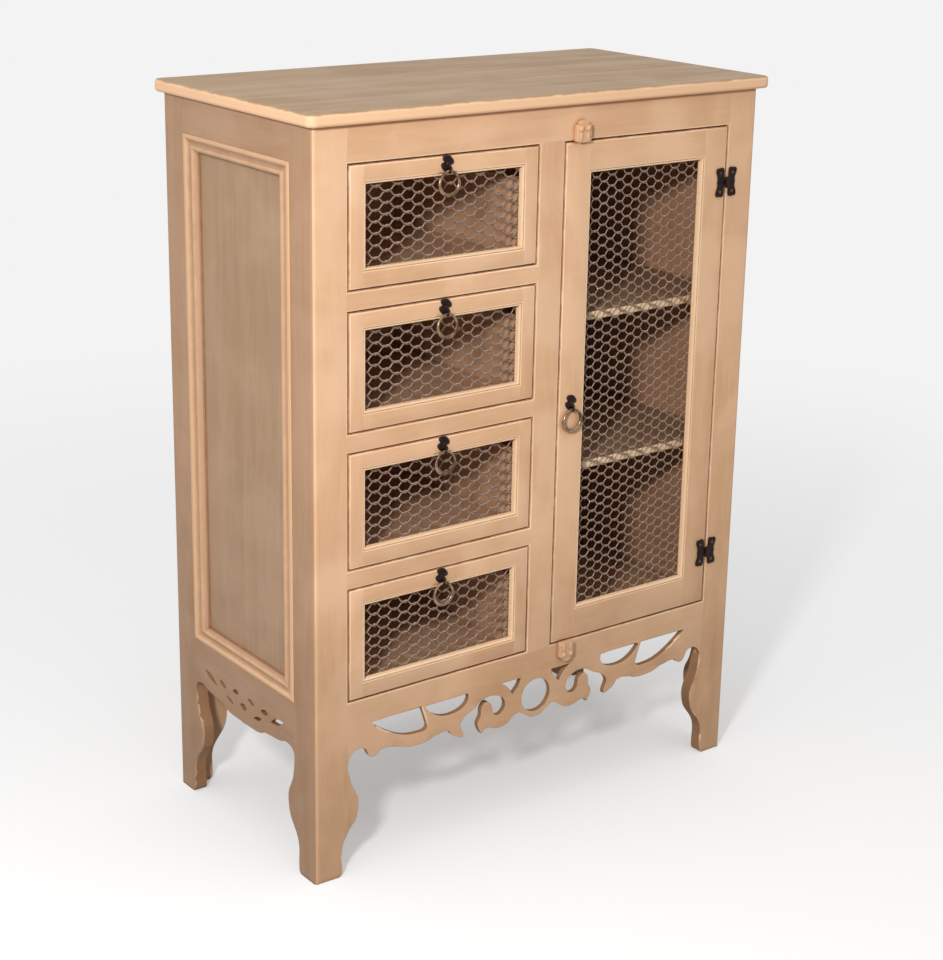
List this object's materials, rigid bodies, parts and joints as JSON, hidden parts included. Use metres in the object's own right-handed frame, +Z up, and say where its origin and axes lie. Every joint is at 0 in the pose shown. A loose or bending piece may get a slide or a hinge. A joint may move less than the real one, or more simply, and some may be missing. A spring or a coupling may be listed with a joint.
{
  "type": "cupboard",
  "caption": "Free-standing country cupboard with a column of net-fronted drawers beside a net-fronted door over inner shelves, on shaped legs with a fretted apron.",
  "frame": {"origin": "on the floor, under the middle of the overall box (the top board's outline)", "axes": "+Z up, front with drawers and door towards -Y, drawers on the -X side"},
  "size_m": [0.811, 0.417, 1.1],
  "materials": {
    "front_wood": "waxed",
    "top_wood": "worn matt",
    "inner_wood": "raw",
    "wire_net": "dull galvanised",
    "black_iron": "black, slightly worn",
    "screw_steel": "plain"
  },
  "bodies": {
    "case": {"top_board": "top_wood", "front_leg_left": "front_wood", "front_leg_right": "front_wood", "rear_leg_left": "front_wood", "rear_leg_right": "front_wood", "side_leg_front_left": "front_wood", "side_leg_front_right": "front_wood", "side_leg_rear_left": "front_wood", "side_leg_rear_right": "front_wood", "front_top_rail": "front_wood", "front_mullion": "front_wood", "drawer_rails": "front_wood", "front_apron": "front_wood", "side_apron_left": "front_wood", "side_apron_right": "front_wood", "side_top_rail_left": "front_wood", "side_top_rail_right": "front_wood", "side_panel_left": "front_wood", "side_panel_right": "front_wood", "side_moulding_left": "front_wood", "side_moulding_right": "front_wood", "back_panel": "inner_wood", "back_rails": "inner_wood", "bottom_board": "inner_wood", "partition": "inner_wood", "drawer_runners": "inner_wood", "shelves": "inner_wood", "shelf_cleats": "inner_wood", "hinge_frame_leaves": "black_iron", "hinge_pins": "black_iron", "turn_button_pins": "screw_steel"},
    "drawer_1": {"drawer_1_front": "front_wood", "drawer_1_net": "wire_net", "drawer_1_box": "inner_wood", "drawer_1_pull_plate": "black_iron"},
    "drawer_1_ring": {"drawer_1_pull_ring": "black_iron"},
    "drawer_2": {"drawer_2_front": "front_wood", "drawer_2_net": "wire_net", "drawer_2_box": "inner_wood", "drawer_2_pull_plate": "black_iron"},
    "drawer_2_ring": {"drawer_2_pull_ring": "black_iron"},
    "drawer_3": {"drawer_3_front": "front_wood", "drawer_3_net": "wire_net", "drawer_3_box": "inner_wood", "drawer_3_pull_plate": "black_iron"},
    "drawer_3_ring": {"drawer_3_pull_ring": "black_iron"},
    "drawer_4": {"drawer_4_front": "front_wood", "drawer_4_net": "wire_net", "drawer_4_box": "inner_wood", "drawer_4_pull_plate": "black_iron"},
    "drawer_4_ring": {"drawer_4_pull_ring": "black_iron"},
    "door": {"door_stile_free": "front_wood", "door_stile_hinge": "front_wood", "door_rails": "front_wood", "door_net": "wire_net", "door_pull_plate": "black_iron", "hinge_door_leaves": "black_iron"},
    "door_ring": {"door_pull_ring": "black_iron"},
    "upper_turn_button": {"turn_button_upper": "front_wood"},
    "lower_turn_button": {"turn_button_lower": "front_wood"}
  },
  "joints": [
    {"name": "drawer_1_slide", "type": "slide", "parent": "case", "child": "drawer_1", "axis": [0, -1, 0], "range_m": [0, 0.27]},
    {"name": "drawer_1_ring_swing", "type": "hinge", "parent": "drawer_1", "child": "drawer_1_ring", "pos_m": [-0.179, -0.1987, 1.008], "axis": [-1, 0, 0], "range_deg": [0, 95]},
    {"name": "drawer_2_slide", "type": "slide", "parent": "case", "child": "drawer_2", "axis": [0, -1, 0], "range_m": [0, 0.27]},
    {"name": "drawer_2_ring_swing", "type": "hinge", "parent": "drawer_2", "child": "drawer_2_ring", "pos_m": [-0.179, -0.1987, 0.81125], "axis": [-1, 0, 0], "range_deg": [0, 95]},
    {"name": "drawer_3_slide", "type": "slide", "parent": "case", "child": "drawer_3", "axis": [0, -1, 0], "range_m": [0, 0.27]},
    {"name": "drawer_3_ring_swing", "type": "hinge", "parent": "drawer_3", "child": "drawer_3_ring", "pos_m": [-0.179, -0.1987, 0.6145], "axis": [-1, 0, 0], "range_deg": [0, 95]},
    {"name": "drawer_4_slide", "type": "slide", "parent": "case", "child": "drawer_4", "axis": [0, -1, 0], "range_m": [0, 0.27]},
    {"name": "drawer_4_ring_swing", "type": "hinge", "parent": "drawer_4", "child": "drawer_4_ring", "pos_m": [-0.179, -0.1987, 0.41775], "axis": [-1, 0, 0], "range_deg": [0, 95]},
    {"name": "door_hinge", "type": "hinge", "parent": "case", "child": "door", "pos_m": [0.337, -0.1968, 0.65], "axis": [0, 0, 1], "range_deg": [0, 110]},
    {"name": "door_ring_swing", "type": "hinge", "parent": "door", "child": "door_ring", "pos_m": [0.0495, -0.1987, 0.638], "axis": [-1, 0, 0], "range_deg": [0, 95]},
    {"name": "upper_turn_button_spin", "type": "hinge", "parent": "case", "child": "upper_turn_button", "pos_m": [0.0515, -0.1935, 1.0395], "axis": [0, -1, 0], "continuous": true},
    {"name": "lower_turn_button_spin", "type": "hinge", "parent": "case", "child": "lower_turn_button", "pos_m": [0.0515, -0.1935, 0.2605], "axis": [0, -1, 0], "continuous": true}
  ]
}
